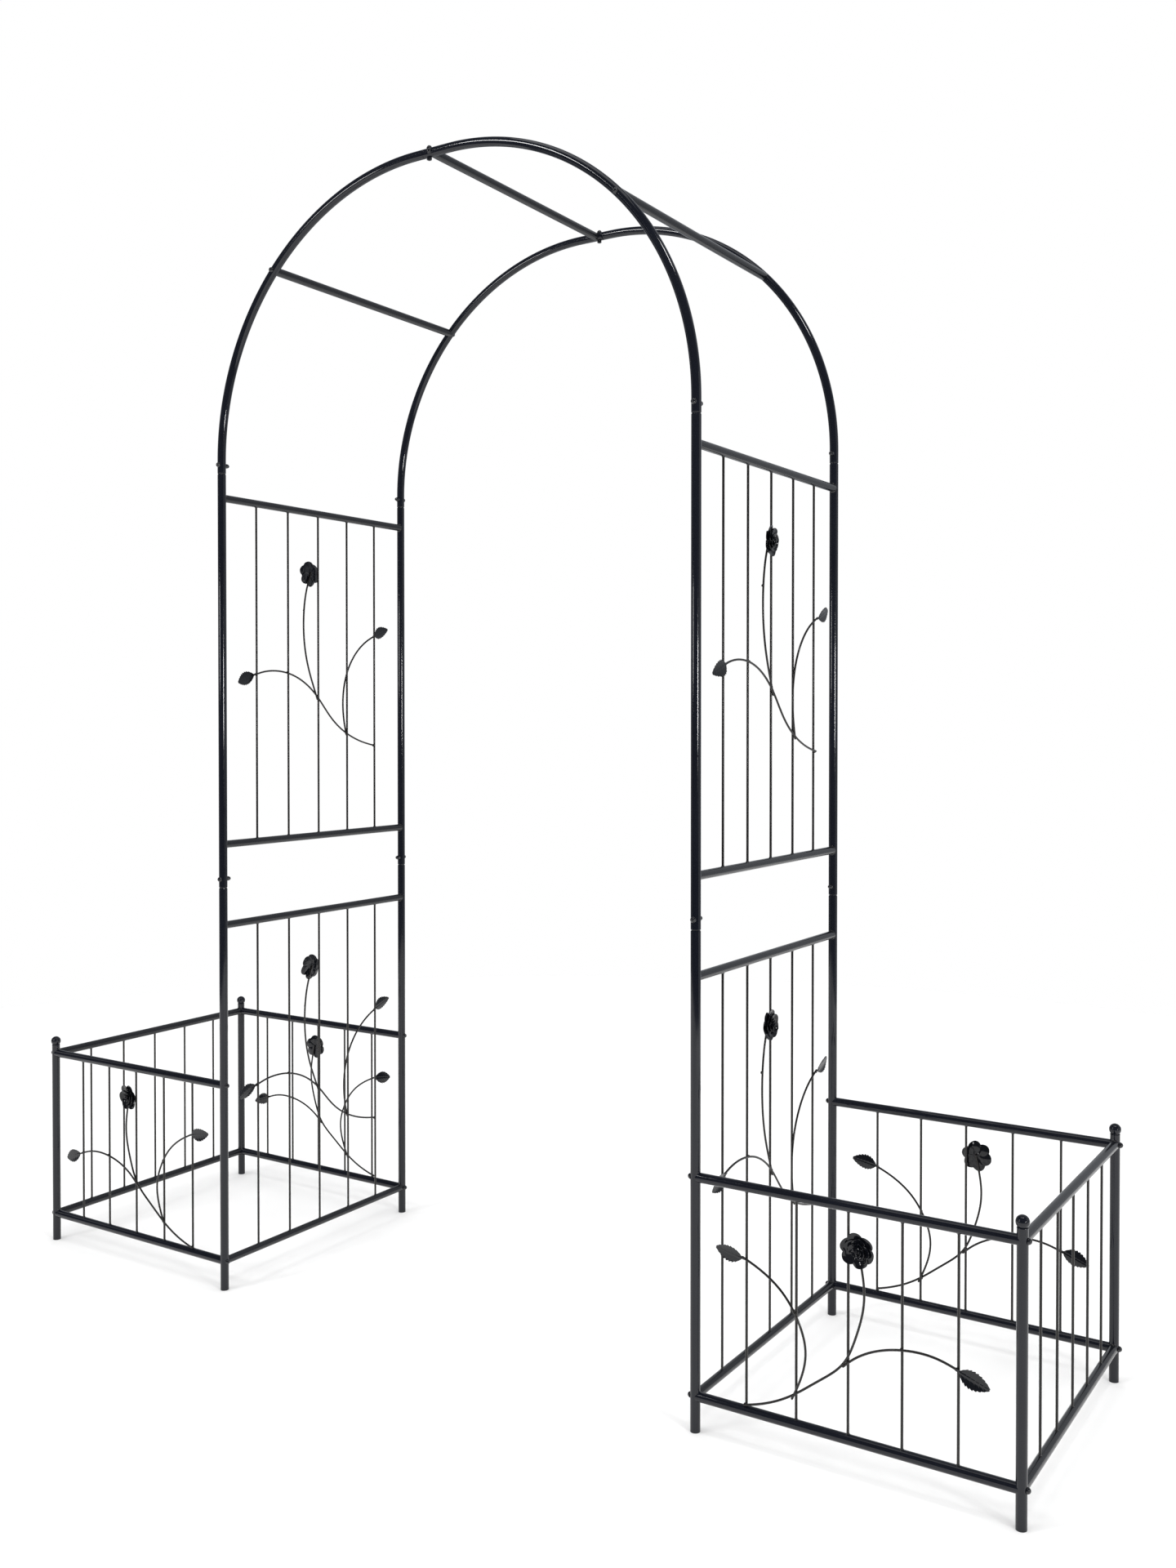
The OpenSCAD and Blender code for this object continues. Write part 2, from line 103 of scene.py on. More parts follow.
def coat(name, dark, light, rough, peel=1.0, clear=0.1):
    """Black powder coat: a faint drift of colour, patches of lower gloss, and orange peel.

    dark and light are the two ends of the colour drift, and rough the two ends of the roughness.
    peel scales the orange peel, and clear is the weight of the gloss on top.
    """
    material = bpy.data.materials.new(name)
    material.use_nodes = True
    nodes, links = material.node_tree.nodes, material.node_tree.links
    shader = nodes["Principled BSDF"]
    shader.inputs["Metallic"].default_value = 0.0
    shader.inputs["IOR"].default_value = 1.43
    shader.inputs["Coat Weight"].default_value = clear
    shader.inputs["Coat Roughness"].default_value = 0.12
    place = nodes.new("ShaderNodeTexCoord")

    def noise(scale, detail, roughness=0.5):
        node = nodes.new("ShaderNodeTexNoise")
        node.inputs["Scale"].default_value = scale
        node.inputs["Detail"].default_value = detail
        node.inputs["Roughness"].default_value = roughness
        links.new(place.outputs["Object"], node.inputs["Vector"])
        return node.outputs["Fac"]

    def ramp(source, low, high, stops=(0.35, 0.65)):
        node = nodes.new("ShaderNodeValToRGB")
        for stop, at, value in zip(node.color_ramp.elements, stops, (low, high)):
            stop.position = at
            stop.color = (*value, 1)
        links.new(source, node.inputs["Fac"])
        return node.outputs["Color"]

    def blend(a, b, share):
        node = nodes.new("ShaderNodeMix")
        node.data_type = "RGBA"
        node.inputs["Factor"].default_value = share
        links.new(a, node.inputs["A"])
        links.new(b, node.inputs["B"])
        return node.outputs["Result"]

    drift = ramp(noise(9, 4), dark, light)
    speck = ramp(noise(700, 2), dark, light, (0.45, 0.7))
    links.new(blend(drift, speck, 0.35), shader.inputs["Base Color"])

    patches = ramp(noise(38, 5, 0.6), (rough[0],) * 3, (rough[1],) * 3)
    links.new(patches, shader.inputs["Roughness"])

    fine = nodes.new("ShaderNodeBump")
    fine.inputs["Strength"].default_value = 0.006 * peel
    fine.inputs["Distance"].default_value = 0.04 * MM
    links.new(noise(650, 2), fine.inputs["Height"])
    broad = nodes.new("ShaderNodeBump")
    broad.inputs["Strength"].default_value = 0.007 * peel
    broad.inputs["Distance"].default_value = 0.3 * MM
    links.new(noise(95, 3), broad.inputs["Height"])
    links.new(fine.outputs["Normal"], broad.inputs["Normal"])
    links.new(broad.outputs["Normal"], shader.inputs["Normal"])
    return material


TUBE_COAT = coat("tube_powder_coat", (0.0042, 0.0050, 0.0085), (0.0068, 0.0078, 0.0120), (0.06, 0.10), 0.4)
# The colour of this coat is a painted sheen. It is a lighter, greyer copy of the tube coat, given to the rails
# and bars that run front to back, and it stands for the white backdrop that they reflect at a grazing angle.
RAIL_COAT_PAINTED_SHEEN = coat("rail_coat_painted_sheen", (0.0058, 0.0064, 0.0085), (0.0088, 0.0094, 0.0118), (0.12, 0.18))
WIRE_COAT = coat("wire_powder_coat", (0.0045, 0.0036, 0.0032), (0.0070, 0.0058, 0.0052), (0.22, 0.34), 4)
FLOWER_COAT = coat("flower_powder_coat", (0.0030, 0.0035, 0.0050), (0.0056, 0.0062, 0.0084), (0.07, 0.13), 5)
WELD_COAT = coat("weld_powder_coat", (0.0045, 0.0047, 0.0060), (0.0085, 0.0086, 0.0100), (0.22, 0.36), 8)
BOLT_COAT = coat("bolt_black_finish", (0.0050, 0.0055, 0.0072), (0.0110, 0.0116, 0.0145), (0.10, 0.18), 2, 0.4)

COAT_OF = {
    "leg": TUBE_COAT, "hoop": TUBE_COAT, "cross": RAIL_COAT_PAINTED_SHEEN, "corner": TUBE_COAT,
    "side_rails": RAIL_COAT_PAINTED_SHEEN, "planter_rails": TUBE_COAT, "end_rails": RAIL_COAT_PAINTED_SHEEN,
    "side_rods": WIRE_COAT, "planter_rods": WIRE_COAT, "end_rods": WIRE_COAT,
    "cross_bar_inserts": BOLT_COAT, "planter_inserts": BOLT_COAT,
}


def coat_for(node):
    """The coat of the longest key that the node's name starts with."""
    return COAT_OF[max((key for key in COAT_OF if node.startswith(key)), key=len, default="leg")]


for node_name, node_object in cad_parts.items():
    node_object.data.materials.clear()
    node_object.data.materials.append(coat_for(node_name))


# ---- Mesh tools ------------------------------------------------------------------------------


class Shape:
    """Vertices and faces, gathered from closed shells."""

    def __init__(self):
        self.points = []
        self.faces = []

    def add(self, shell, matrix=Matrix.Identity(4)):
        points, faces = shell
        base = len(self.points)
        self.points.extend(matrix @ Vector(p) for p in points)
        turned = matrix.determinant() < 0
        for face in faces:
            face = [base + i for i in face]
            self.faces.append(face[::-1] if turned else face)

    def build(self, name, material, slot, replaced=(), sharp=40):
        mesh = bpy.data.meshes.new(name)
        mesh.from_pydata([tuple(p) for p in self.points], [], self.faces)
        mesh.validate()
        mesh.materials.append(material)
        for face in mesh.polygons:
            face.use_smooth = True
        mesh.set_sharp_from_angle(angle=math.radians(sharp))
        piece = bpy.data.objects.new(name, mesh)
        bpy.context.scene.collection.objects.link(piece)
        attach(piece, ROOT)
        if replaced:
            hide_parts(*replaced)
        return piece


def rings_to_faces(rings, around, closed=False):
    """Quads between rings of points, each ring running round the same way."""
    faces = []
    for i in range(rings if closed else rings - 1):
        a, b = i * around, (i + 1) % rings * around
        for j in range(around):
            k = (j + 1) % around
            faces.append((a + j, a + k, b + k, b + j))
    return faces


def lathe(profile, around=32, radius_at=None):
    """A closed shell round Z. The profile is [(radius, height)], from its start pole to its end pole.

    radius_at(radius, angle) may change a ring's radius on the way round.
    """
    points = []
    for radius, height in profile:
        for j in range(around):
            angle = 2 * math.pi * j / around
            r = radius_at(radius, angle) if radius_at else radius
            points.append((r * math.cos(angle), r * math.sin(angle), height))
    faces = rings_to_faces(len(profile), around)
    first, last = len(points), len(points) + 1
    points += [(0, 0, profile[0][1]), (0, 0, profile[-1][1])]
    top = (len(profile) - 1) * around
    for j in range(around):
        k = (j + 1) % around
        faces.append((first, k, j))
        faces.append((last, top + j, top + k))
    return points, faces


# The rounded end of a wire: rings as shares of its radius, each with how far it stands out
WIRE_CAP = [(0.9, 0.45), (0.55, 0.85), (0.2, 0.99)]


def swept(path, radius, around=14):
    """A round wire with rounded ends along a path of points that lies in the plane z = const."""
    path = np.array(path, float)
    steps = np.gradient(path, axis=0)
    steps /= np.linalg.norm(steps, axis=1)[:, None]
    first, last = steps[0], steps[-1]
    stations = [(path[0] - first * radius * out, first, radius * wide) for wide, out in WIRE_CAP[::-1]]
    stations += [(place, step, radius) for place, step in zip(path, steps)]
    stations += [(path[-1] + last * radius * out, last, radius * wide) for wide, out in WIRE_CAP]
    up = np.array((0.0, 0.0, 1.0))
    points = []
    for centre, along, size in stations:
        side = np.cross(up, along)
        side /= np.linalg.norm(side)
        above = np.cross(along, side)
        for j in range(around):
            angle = 2 * math.pi * j / around
            points.append(tuple(centre + size * (math.cos(angle) * side + math.sin(angle) * above)))
    faces = rings_to_faces(len(stations), around)
    faces.append(tuple(range(around))[::-1])
    faces.append(tuple((len(stations) - 1) * around + j for j in range(around)))
    return points, faces


SMOOTHING_ROUNDS = 60


def curve_through(points, lift, step=3.0):
    """A natural cubic path through points given in mm in a panel's plane, evened out a little.

    It comes back in metres, at that lift, with a point about every step mm.
    """
    points = np.array(points, float)
    knots = np.concatenate([[0], np.cumsum(np.linalg.norm(np.diff(points, axis=0), axis=1))])
    count = len(points)
    gaps = np.diff(knots)
    system = np.eye(count)
    right = np.zeros((count, 2))
    for i in range(1, count - 1):
        system[i, i - 1 : i + 2] = gaps[i - 1], 2 * (gaps[i - 1] + gaps[i]), gaps[i]
        right[i] = 6 * ((points[i + 1] - points[i]) / gaps[i] - (points[i] - points[i - 1]) / gaps[i - 1])
    system[0, :2] = 1, -1
    system[-1, -2:] = -1, 1
    bend = np.linalg.solve(system, right)
    at = np.linspace(0, knots[-1], max(12, int(knots[-1] / step)))
    k = np.clip(np.searchsorted(knots, at, side="right") - 1, 0, count - 2)
    h, a, b = gaps[k], knots[k + 1] - at, at - knots[k]
    h, a, b = h[:, None], a[:, None], b[:, None]
    path = (bend[k] * a**3 + bend[k + 1] * b**3) / (6 * h)
    path += (points[k] / h - bend[k] * h / 6) * a + (points[k + 1] / h - bend[k + 1] * h / 6) * b
    for _ in range(SMOOTHING_ROUNDS):
        path[1:-1] += 0.25 * (path[:-2] + path[2:] - 2 * path[1:-1])
    return np.column_stack([path * MM, np.full(len(path), lift)])


def sheet_shell(middle_at, rows, columns, thick):
    """A closed sheet of that thickness about the surface middle_at(u, v), both from 0 to 1."""
    grid = np.array(
        [[middle_at(i / (rows - 1), j / (columns - 1)) for j in range(columns)] for i in range(rows)]
    )
    across = np.gradient(grid, axis=1)
    along = np.gradient(grid, axis=0)
    normal = np.cross(along, across)
    normal /= np.maximum(np.linalg.norm(normal, axis=2), 1e-12)[..., None]
    if normal[rows // 2, columns // 2, 2] < 0:
        normal = -normal
    top = (grid + normal * thick / 2).reshape(-1, 3)
    bottom = (grid - normal * thick / 2).reshape(-1, 3)
    points = [tuple(p) for p in np.vstack([top, bottom])]
    base = rows * columns
    faces = []
    for i in range(rows - 1):
        for j in range(columns - 1):
            a, b = i * columns + j, (i + 1) * columns + j
            faces.append((a, b, b + 1, a + 1))
            faces.append((base + a, base + a + 1, base + b + 1, base + b))
    rim = list(range(columns))
    rim += [i * columns + columns - 1 for i in range(1, rows)]
    rim += [(rows - 1) * columns + j for j in range(columns - 2, -1, -1)]
    rim += [i * columns for i in range(rows - 2, 0, -1)]
    for a, b in zip(rim, rim[1:] + rim[:1]):
        faces.append((a, b, base + b, base + a))
    a, b, c = (np.array(points[i]) for i in faces[0][:3])
    if np.cross(b - a, c - b)[2] < 0:
        faces = [face[::-1] for face in faces]
    return points, faces


# ---- Panels: a matrix from (along, up, outward) to the row frame -----------------------------


def frame_matrix(along, up, outward, origin):
    return Matrix((
        (along[0], up[0], outward[0], origin[0]),
        (along[1], up[1], outward[1], origin[1]),
        (along[2], up[2], outward[2], origin[2]),
        (0, 0, 0, 1),
    ))


def side_panel(side, height):
    """Along runs to the rear from the middle, up from the given height, outward from the arch."""
    return frame_matrix((0, 1, 0), (0, 0, 1), (side, 0, 0), (side * LEG_X, 0, height))


def planter_panel(side, end):
    """Along runs outwards from the leg, up from the ground."""
    return frame_matrix((side, 0, 0), (0, 0, 1), (0, end, 0), (side * LEG_X, end * HALF_DEPTH, 0))


SIDE_PANELS = [
    (f"{level}_{side}", side_panel(sign, (bottom + top) / 2 - SIDE_VINE_DROP))
    for level, bottom, top in (("lower", LOWER_BOTTOM, LOWER_TOP), ("upper", UPPER_BOTTOM, UPPER_TOP))
    for side, sign in SIDES
]
PLANTER_PANELS = [
    (f"{end}_{side}", planter_panel(sign, way)) for end, way in ENDS for side, sign in SIDES
]

# The lines of the wires in mm, in a side panel from the middle rod's weld, and in a planter panel
# from the leg and the ground
SIDE_WIRES = [
    [(-172, 38), (-150, 45), (-118, 48), (-85, 45), (-38, 28), (0, 0), (40, -44), (85, -76), (130, -94),
     (172, -103)],
    [(1, -7), (-7, 12), (-20, 42), (-36, 104), (-38, 157), (-29, 215), (-16, 247)],
    [(87, -80), (79, -50), (76, -19), (83, 34), (104, 76), (133, 106), (178, 130)],
]
SIDE_WELDS = [(0, 0), (85, -76), (170, -103), (-38, 170), (85, 36), (-85, 45)]
PLANTER_WIRES = [
    [(84, 63), (122, 75), (164, 98), (205, 130), (243, 163), (258, 200), (270, 240), (272, 277),
     (268, 301), (262, 330)],
    [(161, 92), (172, 115), (180, 138), (184, 167), (172, 205), (155, 234), (120, 264), (81, 282)],
    [(240, 158), (250, 169), (264, 179), (294, 194), (326, 202), (368, 204), (409, 192)],
]
PLANTER_WELDS = [(86, 64), (166, 99), (246, 166), (326, 202), (166, 217), (404, 194)]
# [place in mm, heading in degrees] of each leaf, and the place of each rose
SIDE_LEAVES = [((-170, 39), 201), ((176, 129), 20)]
SIDE_ROSE = (-16, 245)
PLANTER_LEAVES = [((83, 281), 170), ((407, 193), -20)]
PLANTER_ROSE = (262, 328)


# ---- Hoops -----------------------------------------------------------------------------------

# Sizes of the hoops: wall, bevels of a plug joint's two ends, straight at the crown, and spigot
WALL = 1.2 * MM
JOINT_BEVEL = 2 * MM
PLAIN_BEVEL = 0.3 * MM
CROWN_FLAT = 34 * MM
SPIGOT_LENGTH, SPIGOT_PLAY = 26 * MM, 0.15 * MM
hoop_low, hoop_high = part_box("hoop_tube_front_right")
HOOP_FOOT, CROWN_SEAM = hoop_low.z, -hoop_low.x
CROWN_Z = hoop_high.z - TUBE_R
HOOP_R = LEG_X - CROWN_FLAT
BEND_STEPS = 90


def tube_shell(stations, around=48):
    """An open-ended tube with its wall. A station is (centre, along, outer radius, bore radius)."""
    across = Vector((0, 1, 0))
    outside, bore = [], []
    for centre, along, outer_r, bore_r in stations:
        side = along.cross(across)
        ring = []
        for j in range(around):
            angle = 2 * math.pi * j / around
            ring.append(math.cos(angle) * side - math.sin(angle) * across)
        outside.append([centre + outer_r * spoke for spoke in ring])
        bore.append([centre + bore_r * spoke for spoke in ring])
    points = [tuple(point) for ring in outside + bore[::-1] for point in ring]
    return points, rings_to_faces(2 * len(stations), around, closed=True)


def hoop_stations(plug):
    """Half a hoop in the plane y = 0, from its foot on the right leg to the crown."""
    bore_r = TUBE_R - WALL
    up, inward = Vector((0, 0, 1)), Vector((-1, 0, 0))
    bend_z = CROWN_Z - HOOP_R
    foot = Vector((LEG_X, 0, HOOP_FOOT))
    yield foot, up, TUBE_R - JOINT_BEVEL / 3, bore_r
    yield foot + up * JOINT_BEVEL / 2, up, TUBE_R, bore_r
    for i in range(BEND_STEPS + 1):
        angle = math.pi / 2 * i / BEND_STEPS
        out = Vector((math.cos(angle), 0, math.sin(angle)))
        along = Vector((-math.sin(angle), 0, math.cos(angle)))
        yield Vector((CROWN_FLAT, 0, bend_z)) + HOOP_R * out, along, TUBE_R, bore_r
    crown = Vector((0, 0, CROWN_Z))
    if not plug:
        yield crown + inward * (CROWN_SEAM - PLAIN_BEVEL), inward, TUBE_R, bore_r
        yield crown + inward * CROWN_SEAM, inward, TUBE_R - PLAIN_BEVEL, bore_r
        return
    seam = crown - inward * CROWN_SEAM
    spigot_r = bore_r - SPIGOT_PLAY
    yield seam - inward * JOINT_BEVEL, inward, TUBE_R, bore_r
    yield seam, inward, bore_r, spigot_r - WALL
    yield seam + inward * SPIGOT_PLAY, inward, spigot_r, spigot_r - WALL
    yield seam + inward * SPIGOT_LENGTH, inward, spigot_r, spigot_r - WALL


for end_name, end in ENDS:
    for side_name, side in SIDES:
        hoop = Shape()
        matrix = Matrix.Translation((0, end * HALF_DEPTH, 0)) @ Matrix.Diagonal((side, 1, 1, 1))
        # the rear hoop is the front one turned round, so there the right half plugs into the left
        hoop.add(tube_shell(list(hoop_stations((side_name == "left") == (end_name == "front")))), matrix)
        node = f"hoop_tube_{end_name}_{side_name}"
        hoop.build(f"hoop_{end_name}_{side_name}", TUBE_COAT, "tube_coat", [node], 25)


# ---- Vines -----------------------------------------------------------------------------------


def blob(place, size, seed):
    """A lumpy bead of weld, flattened towards the rod."""
    chance = random.Random(seed)
    turn, lump = chance.uniform(0, 6.28), chance.uniform(0.06, 0.14)
    rows = 9
    angles = [math.pi * i / rows for i in range(1, rows)]
    profile = [(size[0] * math.sin(a), -size[1] * math.cos(a)) for a in angles]
    points, faces = lathe(profile, 14, lambda r, a: r * (1 + lump * math.sin(3 * a + turn)))
    return [(p[0] + place[0], p[1] + place[1], p[2] + place[2]) for p in points], faces


def vine_shape(matrix, wires, welds, seed):
    """The wires of one vine and its beads of weld, of which the first three are the larger."""
    shape = Shape()
    for wire in wires:
        shape.add(swept(curve_through(wire, WIRE_LIFT), WIRE_R), matrix)
    for i, (x, y) in enumerate(welds):
        size = (2.9 * MM, 2.3 * MM) if i < 3 else (2.3 * MM, 1.9 * MM)
        shape.add(blob((x * MM, y * MM, ROD_R + 0.5 * WIRE_R), size, seed + i), matrix)
    return shape


for index, (place_name, matrix) in enumerate(SIDE_PANELS):
    node = f"side_vine_{place_name}"
    vine_shape(matrix, SIDE_WIRES, SIDE_WELDS, 10 * index).build(
        f"vine_side_{place_name}", WIRE_COAT, "wire_coat", [node])
for index, (place_name, matrix) in enumerate(PLANTER_PANELS):
    node = f"planter_vine_{place_name}"
    vine_shape(matrix, PLANTER_WIRES, PLANTER_WELDS, 100 + 10 * index).build(
        f"vine_planter_{place_name}", WIRE_COAT, "wire_coat", [node])


# ---- Roses -----------------------------------------------------------------------------------


def petal(out, size, base, cup, tilt, roll, seed):
    """One stamped petal: a round dish whose rim stands up and rolls over, tilted so that it
    overlaps its neighbour. out is the distance of its middle from the rose's."""
    chance = random.Random(seed)
    lobes, phase = chance.choice((2, 3)), chance.uniform(0, 6.28)

    def surface(u, v):
        s, t = 2 * u - 1, 2 * v - 1
        x, y = s * math.sqrt(1 - t * t / 2), t * math.sqrt(1 - s * s / 2)
        far = min(1.0, math.hypot(x, y))
        angle = math.atan2(y, x)
        edge = 1 + 0.045 * math.sin(lobes * angle + phase) * far
        rise = cup * far**2.2 * (0.55 + 0.45 * x)
        over = roll * max(0.0, far - 0.8) / 0.2
        ripple = 0.05 * cup * math.sin(5 * angle + phase) * far**3
        height = base + rise - over + ripple + tilt * y
        return (out + size * x * edge, size * y * edge * 1.04, height)

    return sheet_shell(surface, 15, 15, 0.8 * MM)


# Each ring: how many petals, the middle and the radius of a petal as shares of the rose's radius,
# then its base, cup, tilt and roll in mm, and its turn in degrees
ROSE_RINGS = [
    (6, 0.56, 0.44, 0.7, 3.0, 0.9, 0.9, 0),
    (5, 0.37, 0.37, 2.3, 3.8, 0.8, 0.8, 30),
    (4, 0.22, 0.28, 3.8, 3.9, 0.7, 0.6, 12),
    (3, 0.10, 0.19, 5.0, 3.8, 0.5, 0.4, 50),
]
# Profiles in mm of the rolled bud, and of the round back plate that the stem is welded to
ROSE_BUD = [(0.6, 5.0), (2.2, 5.4), (2.8, 6.6), (2.5, 7.9), (1.9, 8.6), (1.5, 8.7), (1.1, 8.1), (0.7, 8.0),
            (0.4, 8.7)]
ROSE_PLATE = [(4.0, 0.0), (7.0, 0.15), (7.6, 0.7), (7.0, 1.3), (4.0, 1.8)]


def rose_shells(seed):
    """Each shell of one rose, with the matrix that turns it into place."""
    chance = random.Random(seed)
    start = chance.uniform(0, 60)
    for ring, (count, out, size, base, cup, tilt, roll, turn) in enumerate(ROSE_RINGS):
        for i in range(count):
            shell = petal(out * ROSE_R, size * ROSE_R, base * MM, cup * MM * chance.uniform(0.9, 1.1),
                          tilt * MM, roll * MM, seed * 50 + ring * 10 + i)
            around = start + turn + 360 / count * i + chance.uniform(-4, 4)
            yield shell, Matrix.Rotation(math.radians(around), 4, "Z")
    yield lathe([(r * MM, z * MM) for r, z in ROSE_BUD], 24), Matrix.Rotation(start, 4, "Z")
    yield lathe([(r * MM, z * MM) for r, z in ROSE_PLATE], 32), Matrix.Identity(4)


def place_in_panel(place, heading=0.0, lift=FLOWER_LIFT):
    at = Matrix.Translation((place[0] * MM, place[1] * MM, lift))
    return at @ Matrix.Rotation(math.radians(heading), 4, "Z")


def rose_group(name, node, panels, place, fullness, seed):
    """The roses of one node. fullness stretches them outwards: the side ones stand fuller."""
    shape = Shape()
    stretch = Matrix.Diagonal((1, 1, fullness, 1))
    for index, (_, matrix) in enumerate(panels):
        chance = random.Random(seed + index)
        lean = Matrix.Rotation(math.radians(chance.uniform(-4, 4)), 4, "X")
        lean @= Matrix.Rotation(math.radians(chance.uniform(-4, 4)), 4, "Y")
        for shell, turn in rose_shells(seed + index):
            shape.add(shell, matrix @ place_in_panel(place) @ lean @ stretch @ turn)
    shape.build(name, FLOWER_COAT, "flower_coat", [node], 35)


rose_group("roses_on_sides", "side_roses", SIDE_PANELS, SIDE_ROSE, 1.35, 3)
rose_group("roses_on_planters", "planter_roses", PLANTER_PANELS, PLANTER_ROSE, 1.0, 23)


# ---- Leaves ----------------------------------------------------------------------------------

LEAF_TEETH = 10
TOOTH_STEPS = 7
# The share of a leaf's length that is bare stalk
BARE_SHARE = 0.11


def leaf_shell(seed):
    """A stamped leaf along +X: saw-toothed edge, raised midrib and side veins, slightly cupped."""
    chance = random.Random(seed)
    cup, curl = chance.uniform(2.2, 3.6) * MM, chance.uniform(1.0, 3.0) * MM

    def surface(u, v):
        across = 2 * v - 1
        tooth = u * LEAF_TEETH % 1.0
        body = max(0.0, (u - BARE_SHARE) / (1 - BARE_SHARE))
        width = LEAF_HALF_WIDTH * math.sin(math.pi * body**0.82) ** 0.78 if 0 < body < 1 else 0.0
        stem = 1.5 * MM if u < 0.9 else 0.4 * MM
        bite = 0.17 * (1 - tooth) * abs(across) ** 5 if body > 0.02 else 0.0
        y = across * max(stem, width) * (1 - bite)
        x = -LEAF_STALK + u * (LEAF_LENGTH + LEAF_STALK)
        if body > 0.02 and u < 0.99:
            x += 1.3 * MM * abs(across) ** 5
        far = abs(y) / LEAF_HALF_WIDTH
        rib = 0.75 * MM * math.exp(-((y / (1.1 * MM)) ** 2)) * (1 - 0.7 * body)
        phase = (x - 0.95 * abs(y)) / (LEAF_LENGTH / 7.0) % 1.0 - 0.5
        vein = 0.42 * MM * math.exp(-((phase / 0.13) ** 2)) * min(1, far * 5) * max(0, 1 - far * 0.6)
        bulge = 0.25 * MM * math.cos(2 * math.pi * phase) * far
        height = cup * far**1.7 - curl * (body - 0.3) ** 2 * 1.6
        return (x, y, 0.6 * MM + height + (rib + vein - bulge if body > 0.02 else 0.0))

    return sheet_shell(surface, LEAF_TEETH * TOOTH_STEPS + 1, 27, 0.9 * MM)


def leaf_group(name, node, panels, leaves, seed):
    """The leaves of one node, each leaning a little its own way."""
    shape = Shape()
    for index, (_, matrix) in enumerate(panels):
        for number, (place, heading) in enumerate(leaves):
            leaf_seed = seed + 10 * index + number
            lean = Matrix.Rotation(math.radians(random.Random(leaf_seed).uniform(-12, 12)), 4, "X")
            shape.add(leaf_shell(leaf_seed), matrix @ place_in_panel(place, heading) @ lean)
    shape.build(name, FLOWER_COAT, "flower_coat", [node], 50)


leaf_group("leaves_on_sides", "side_leaves", SIDE_PANELS, SIDE_LEAVES, 300)
leaf_group("leaves_on_planters", "planter_leaves", PLANTER_PANELS, PLANTER_LEAVES, 400)


# ---- Ball finials ----------------------------------------------------------------------------

# In mm, from the top of the post: the plug, the collar, and the ball from where it leaves the collar
BALL_R = 9.5
COLLAR = 1.5
BALL_MIDDLE = COLLAR + BALL_R * 0.76
BALL_FOOT = 1.95
BALL_STEPS = 61
PLUG_AND_COLLAR = [(6.45, -12), (6.45, 0), (7.75, 0), (7.95, 0.4), (7.95, 1.1), (7.7, 1.5), (6.9, 1.9)]
ball_angles = [math.pi * (1 - step / BALL_STEPS) for step in range(6, BALL_STEPS)]
ball_profile = [(BALL_R * math.sin(a), BALL_MIDDLE + BALL_R * math.cos(a)) for a in ball_angles]
finial_profile = PLUG_AND_COLLAR + [(r, z) for r, z in ball_profile if z > BALL_FOOT]

finials = Shape()
for _, side in SIDES:
    for _, end in ENDS:
        at = Matrix.Translation((side * POST_X, end * HALF_DEPTH, POST_TOP))
        finials.add(lathe([(r * MM, z * MM) for r, z in finial_profile], 48), at)
finials.build("ball_finials_turned", TUBE_COAT, "tube_coat", ["ball_finials"], 45)


# ---- Bolts and cap nuts ----------------------------------------------------------------------

# In mm: a bolt's head and thread, half a nut's width across flats, and the heights of its hexagon
# and of the whole cap nut
HEAD_R, HEAD_H, THREAD_R = 4.75, 5.0, 2.5
NUT_FLAT, NUT_HEX_H, NUT_H = 4.0, 5.0, 10.0
CROWN_NUT_H = 4.0
CAP_R = 3.7


def bolt_shell(shank):
    """A domed bolt along +Z, its head under z = 0 at the tube's skin."""
    profile = []
    for degrees in range(84, 12, -8):
        polar = math.radians(degrees)
        profile.append(((HEAD_R - 0.1) * math.cos(polar), -HEAD_H * math.sin(polar)))
    profile += [(HEAD_R - 0.1, -1.0), (HEAD_R, -0.8), (HEAD_R, 0.15)]
    profile += [(THREAD_R, 0.15), (THREAD_R, shank - 0.5), (THREAD_R - 0.5, shank)]
    return lathe([(r * MM, z * MM) for r, z in profile], 28)


def hexagon(radius, angle):
    """The radius on the way round of a hexagon whose flats are at NUT_FLAT, cut to a circle."""
    flat = NUT_FLAT * MM / math.cos((angle + math.pi / 6) % (math.pi / 3) - math.pi / 6)
    return min(radius, flat)


def hexagon_shell(height):
    """The hexagon of a nut, with chamfered corners."""
    corner = NUT_FLAT / math.cos(math.pi / 6)
    profile = [(corner - 0.45, -0.05), (corner, 0.35), (corner, height - 0.5), (corner - 0.5, height)]
    profile.append((THREAD_R + 0.1, height))
    return lathe([(r * MM, z * MM) for r, z in profile], 48, hexagon)


def cap_shell():
    """The dome on a cap nut, which rises a little to a point."""
    base = NUT_HEX_H + 0.9
    dome = [(CAP_R - 0.6, NUT_HEX_H - 0.3), (CAP_R, NUT_HEX_H), (CAP_R, base)]
    for degrees in range(12, 90, 12):
        angle = math.radians(degrees)
        dome.append((CAP_R * math.cos(angle) ** 1.1, base + (NUT_H - base) * math.sin(angle)))
    return lathe([(r * MM, z * MM) for r, z in dome], 28)


LEG_JOINT_BOLT_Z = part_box("tube_joint_nuts")[0].z + NUT_FLAT * MM
JOINT_BOLT_RISE = LEG_JOINT_BOLT_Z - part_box("leg_upper_front_right")[0].z
HOOP_JOINT_BOLT_Z = HOOP_FOOT + JOINT_BOLT_RISE
CROWN_BOLT_X = 6 * MM
BAR_MIDDLES = [middle(f"cross_bar_{bar}") for bar in ("left", "crown", "right")]


def facing(direction, place):
    """A matrix that takes +Z along the direction, from the tube's skin on the far side of place."""
    direction = Vector(direction)
    turn = direction.to_track_quat("Z", "Y").to_matrix().to_4x4()
    return Matrix.Translation(Vector(place) - direction * TUBE_R) @ turn


